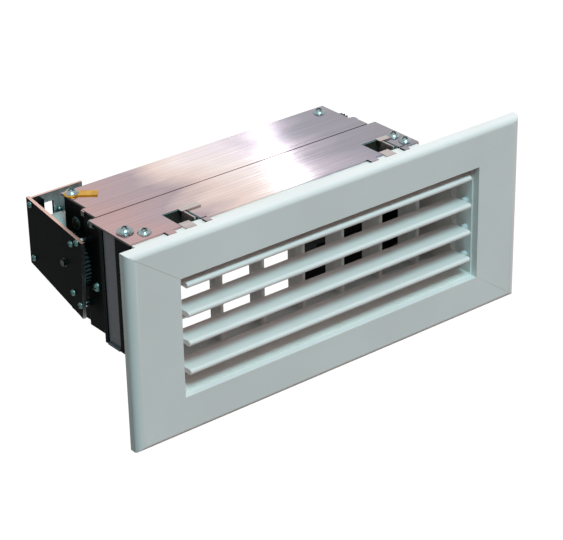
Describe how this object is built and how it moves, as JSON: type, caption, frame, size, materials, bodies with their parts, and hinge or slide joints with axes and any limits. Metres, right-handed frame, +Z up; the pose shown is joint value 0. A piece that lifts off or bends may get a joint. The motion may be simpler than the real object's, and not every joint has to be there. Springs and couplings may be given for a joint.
{
  "type": "motorized damper grille",
  "caption": "Rectangular supply-air grille with tilting front blades, upright vanes behind them and a geared, motor-driven opposed-blade damper in a short sheet-metal box.",
  "frame": {"origin": "centre of the overall box that holds every piece", "axes": "+X to the right seen from the room, +Y from the front face into the duct, +Z up"},
  "size_m": [0.2534, 0.1374, 0.107],
  "materials": {
    "frame_white": "satin powder coat, white",
    "blade_white": "satin powder coat, white",
    "duct_white": "satin powder coat, white",
    "nylon": "moulded nylon, off-white",
    "dark_sheet": "semi-gloss black coating",
    "strip_grey": "grey coating",
    "bare_aluminium": "brushed mill finish",
    "zinc_steel": "bright zinc plate",
    "brass": "plain brass",
    "module_black": "black moulded plastic"
  },
  "bodies": {
    "blade_1": {"front_blade_1": "blade_white"},
    "blade_2": {"front_blade_2": "blade_white"},
    "blade_3": {"front_blade_3": "blade_white"},
    "blade_4": {"front_blade_4": "blade_white"},
    "upright_vane_1": {"vane_1": "blade_white"},
    "upright_vane_2": {"vane_2": "blade_white"},
    "upright_vane_3": {"vane_3": "blade_white"},
    "upright_vane_4": {"vane_4": "blade_white"},
    "upright_vane_5": {"vane_5": "blade_white"},
    "upright_vane_6": {"vane_6": "blade_white"},
    "upright_vane_7": {"vane_7": "blade_white"},
    "damper_top": {"damper_blade_top": "bare_aluminium", "link_gear_top": "nylon"},
    "damper_middle": {"damper_blade_middle": "bare_aluminium", "link_gear_middle": "nylon", "drive_gear": "nylon"},
    "damper_bottom": {"damper_blade_bottom": "bare_aluminium", "link_gear_bottom": "nylon"},
    "motor_output": {"motor_pinion": "brass", "motor_shaft": "zinc_steel"},
    "housing": {"blade_bushes": "nylon", "blade_carrier": "duct_white", "bottom_front_plate": "bare_aluminium", "bottom_rear_plate": "bare_aluminium", "bottom_screws": "zinc_steel", "bracket_screws": "zinc_steel", "control_module": "module_black", "corner_keys": "bare_aluminium", "damper_bushes": "nylon", "earth_tab": "brass", "frame_bottom_rail": "frame_white", "frame_left_rail": "frame_white", "frame_right_rail": "frame_white", "frame_top_rail": "frame_white", "gearbox": "nylon", "left_clip_cup": "module_black", "left_clip_spring": "zinc_steel", "left_front_side": "dark_sheet", "left_rear_side": "dark_sheet", "left_side_strip": "strip_grey", "motor_bracket": "dark_sheet", "motor_can": "zinc_steel", "motor_plate": "dark_sheet", "neck": "duct_white", "right_clip_cup": "module_black", "right_clip_spring": "zinc_steel", "right_front_side": "dark_sheet", "right_rear_side": "dark_sheet", "right_side_strip": "strip_grey", "screw_washer": "zinc_steel", "side_screws": "zinc_steel", "standoffs": "zinc_steel", "top_front_plate": "bare_aluminium", "top_rear_plate": "bare_aluminium", "top_screws": "zinc_steel", "vane_rail_bottom": "nylon", "vane_rail_top": "nylon"}
  },
  "joints": [
    {"name": "blade_1_tilt", "type": "hinge", "parent": "housing", "child": "blade_1", "pos_m": [0, -0.0604, 0.0268], "axis": [1, 0, 0], "range_deg": [-14, 14]},
    {"name": "blade_2_tilt", "type": "hinge", "parent": "housing", "child": "blade_2", "pos_m": [0, -0.0604, 0.0109], "axis": [1, 0, 0], "range_deg": [-40, 40]},
    {"name": "blade_3_tilt", "type": "hinge", "parent": "housing", "child": "blade_3", "pos_m": [0, -0.0604, -0.005], "axis": [1, 0, 0], "range_deg": [-40, 40]},
    {"name": "blade_4_tilt", "type": "hinge", "parent": "housing", "child": "blade_4", "pos_m": [0, -0.0604, -0.0209], "axis": [1, 0, 0], "range_deg": [-40, 40]},
    {"name": "vane_1_swing", "type": "hinge", "parent": "housing", "child": "upright_vane_1", "pos_m": [-0.078, -0.03485, 0], "axis": [0, 0, 1], "range_deg": [-40, 40]},
    {"name": "vane_2_swing", "type": "hinge", "parent": "housing", "child": "upright_vane_2", "pos_m": [-0.052, -0.03485, 0], "axis": [0, 0, 1], "range_deg": [-40, 40]},
    {"name": "vane_3_swing", "type": "hinge", "parent": "housing", "child": "upright_vane_3", "pos_m": [-0.026, -0.03485, 0], "axis": [0, 0, 1], "range_deg": [-40, 40]},
    {"name": "vane_4_swing", "type": "hinge", "parent": "housing", "child": "upright_vane_4", "pos_m": [0, -0.03485, 0], "axis": [0, 0, 1], "range_deg": [-40, 40]},
    {"name": "vane_5_swing", "type": "hinge", "parent": "housing", "child": "upright_vane_5", "pos_m": [0.026, -0.03485, 0], "axis": [0, 0, 1], "range_deg": [-40, 40]},
    {"name": "vane_6_swing", "type": "hinge", "parent": "housing", "child": "upright_vane_6", "pos_m": [0.052, -0.03485, 0], "axis": [0, 0, 1], "range_deg": [-40, 40]},
    {"name": "vane_7_swing", "type": "hinge", "parent": "housing", "child": "upright_vane_7", "pos_m": [0.078, -0.03485, 0], "axis": [0, 0, 1], "range_deg": [-40, 40]},
    {"name": "damper_middle_turn", "type": "hinge", "parent": "housing", "child": "damper_middle", "pos_m": [0, 0.03525, 0.001], "axis": [1, 0, 0], "range_deg": [0, 85]},
    {"name": "damper_top_turn", "type": "hinge", "parent": "housing", "child": "damper_top", "pos_m": [0, 0.03525, 0.0206], "axis": [1, 0, 0], "range_deg": [-85, 0]},
    {"name": "damper_bottom_turn", "type": "hinge", "parent": "housing", "child": "damper_bottom", "pos_m": [0, 0.03525, -0.0186], "axis": [1, 0, 0], "range_deg": [-85, 0]},
    {"name": "motor_output_turn", "type": "hinge", "parent": "housing", "child": "motor_output", "pos_m": [-0.088, 0.05605, 0.0072], "axis": [1, 0, 0], "range_deg": [-210, 0]}
  ],
  "couplings": [
    {"joint": "damper_top_turn", "follows": "damper_middle_turn", "ratio": -1},
    {"joint": "damper_bottom_turn", "follows": "damper_middle_turn", "ratio": -1},
    {"joint": "motor_output_turn", "follows": "damper_middle_turn", "ratio": -2.4444}
  ]
}
